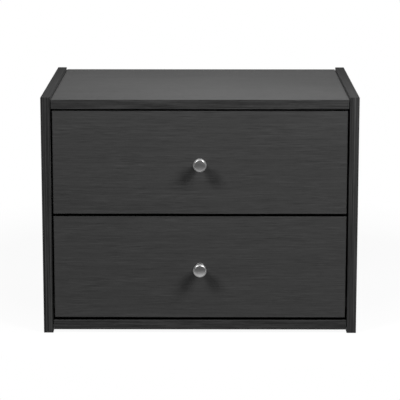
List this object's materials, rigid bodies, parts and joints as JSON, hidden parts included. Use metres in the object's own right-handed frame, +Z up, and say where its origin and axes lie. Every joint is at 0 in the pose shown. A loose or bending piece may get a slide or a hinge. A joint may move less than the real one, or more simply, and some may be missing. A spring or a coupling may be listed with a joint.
{
  "type": "chest of drawers",
  "caption": "Low free-standing chest: full-height side panels, inset top and bottom boards, and drawers with round knobs that slide out on roller runners.",
  "frame": {"origin": "on the floor, at the middle of the width and of the depth, with the knobs counted in the depth", "axes": "+Z up, +X to the right when facing the drawers, -Y towards the front"},
  "size_m": [0.5, 0.392, 0.3805],
  "materials": {
    "laminate": "charcoal wood-grain laminate, satin",
    "edge_band": "charcoal wood-grain edge band, satin",
    "drawer_laminate": "plain charcoal laminate, matt",
    "hardboard": "hardboard, dark face and brown back",
    "beech": "plain beech",
    "zinc": "die-cast zinc, dull",
    "plated_steel": "zinc-plated steel",
    "runner_enamel": "black epoxy-coated steel",
    "nylon": "natural nylon",
    "nickel": "satin nickel"
  },
  "bodies": {
    "carcass": {"left_side_panel": "laminate", "right_side_panel": "laminate", "left_side_bands": "edge_band", "right_side_bands": "edge_band", "top_board": "laminate", "top_board_band": "edge_band", "bottom_board": "laminate", "bottom_board_band": "edge_band", "back_panel": "hardboard", "back_panel_nails": "plated_steel", "case_cams": "zinc", "case_cam_bolts": "plated_steel", "case_dowels": "beech", "case_runner_screws": "plated_steel", "case_roller_rivets": "plated_steel", "upper_left_case_runner": "runner_enamel", "upper_right_case_runner": "runner_enamel", "lower_left_case_runner": "runner_enamel", "lower_right_case_runner": "runner_enamel"},
    "upper_drawer": {"upper_drawer_front": "laminate", "upper_drawer_front_bands": "edge_band", "upper_drawer_left_side": "drawer_laminate", "upper_drawer_right_side": "drawer_laminate", "upper_drawer_back": "drawer_laminate", "upper_drawer_bottom": "hardboard", "upper_drawer_bottom_nails": "plated_steel", "upper_drawer_knob": "nickel", "upper_drawer_knob_screw": "plated_steel", "upper_drawer_cams": "zinc", "upper_drawer_cam_bolts": "plated_steel", "upper_drawer_back_screws": "plated_steel", "upper_drawer_left_runner": "runner_enamel", "upper_drawer_right_runner": "runner_enamel", "upper_drawer_runner_screws": "plated_steel", "upper_drawer_roller_rivets": "plated_steel"},
    "lower_drawer": {"lower_drawer_front": "laminate", "lower_drawer_front_bands": "edge_band", "lower_drawer_left_side": "drawer_laminate", "lower_drawer_right_side": "drawer_laminate", "lower_drawer_back": "drawer_laminate", "lower_drawer_bottom": "hardboard", "lower_drawer_bottom_nails": "plated_steel", "lower_drawer_knob": "nickel", "lower_drawer_knob_screw": "plated_steel", "lower_drawer_cams": "zinc", "lower_drawer_cam_bolts": "plated_steel", "lower_drawer_back_screws": "plated_steel", "lower_drawer_left_runner": "runner_enamel", "lower_drawer_right_runner": "runner_enamel", "lower_drawer_runner_screws": "plated_steel", "lower_drawer_roller_rivets": "plated_steel"},
    "upper_left_case_roller": {"upper_left_case_roller": "nylon"},
    "upper_drawer_left_roller": {"upper_drawer_left_roller": "nylon"},
    "upper_right_case_roller": {"upper_right_case_roller": "nylon"},
    "upper_drawer_right_roller": {"upper_drawer_right_roller": "nylon"},
    "lower_left_case_roller": {"lower_left_case_roller": "nylon"},
    "lower_drawer_left_roller": {"lower_drawer_left_roller": "nylon"},
    "lower_right_case_roller": {"lower_right_case_roller": "nylon"},
    "lower_drawer_right_roller": {"lower_drawer_right_roller": "nylon"}
  },
  "joints": [
    {"name": "upper_drawer_slide", "type": "slide", "parent": "carcass", "child": "upper_drawer", "axis": [0, -1, 0], "range_m": [0, 0.225]},
    {"name": "upper_left_case_roller_spin", "type": "hinge", "parent": "carcass", "child": "upper_left_case_roller", "pos_m": [-0.22865, -0.14, 0.2155], "axis": [1, 0, 0], "continuous": true},
    {"name": "upper_drawer_left_roller_spin", "type": "hinge", "parent": "upper_drawer", "child": "upper_drawer_left_roller", "pos_m": [-0.22865, 0.136, 0.2147], "axis": [1, 0, 0], "continuous": true},
    {"name": "upper_right_case_roller_spin", "type": "hinge", "parent": "carcass", "child": "upper_right_case_roller", "pos_m": [0.22865, -0.14, 0.2155], "axis": [1, 0, 0], "continuous": true},
    {"name": "upper_drawer_right_roller_spin", "type": "hinge", "parent": "upper_drawer", "child": "upper_drawer_right_roller", "pos_m": [0.22865, 0.136, 0.2147], "axis": [1, 0, 0], "continuous": true},
    {"name": "lower_drawer_slide", "type": "slide", "parent": "carcass", "child": "lower_drawer", "axis": [0, -1, 0], "range_m": [0, 0.225]},
    {"name": "lower_left_case_roller_spin", "type": "hinge", "parent": "carcass", "child": "lower_left_case_roller", "pos_m": [-0.22865, -0.14, 0.0465], "axis": [1, 0, 0], "continuous": true},
    {"name": "lower_drawer_left_roller_spin", "type": "hinge", "parent": "lower_drawer", "child": "lower_drawer_left_roller", "pos_m": [-0.22865, 0.136, 0.0457], "axis": [1, 0, 0], "continuous": true},
    {"name": "lower_right_case_roller_spin", "type": "hinge", "parent": "carcass", "child": "lower_right_case_roller", "pos_m": [0.22865, -0.14, 0.0465], "axis": [1, 0, 0], "continuous": true},
    {"name": "lower_drawer_right_roller_spin", "type": "hinge", "parent": "lower_drawer", "child": "lower_drawer_right_roller", "pos_m": [0.22865, 0.136, 0.0457], "axis": [1, 0, 0], "continuous": true}
  ],
  "couplings": [
    {"joint": "upper_left_case_roller_spin", "follows": "upper_drawer_slide", "rad_per_m": 125},
    {"joint": "upper_drawer_left_roller_spin", "follows": "upper_drawer_slide", "rad_per_m": 125},
    {"joint": "upper_right_case_roller_spin", "follows": "upper_drawer_slide", "rad_per_m": 125},
    {"joint": "upper_drawer_right_roller_spin", "follows": "upper_drawer_slide", "rad_per_m": 125},
    {"joint": "lower_left_case_roller_spin", "follows": "lower_drawer_slide", "rad_per_m": 125},
    {"joint": "lower_drawer_left_roller_spin", "follows": "lower_drawer_slide", "rad_per_m": 125},
    {"joint": "lower_right_case_roller_spin", "follows": "lower_drawer_slide", "rad_per_m": 125},
    {"joint": "lower_drawer_right_roller_spin", "follows": "lower_drawer_slide", "rad_per_m": 125}
  ]
}
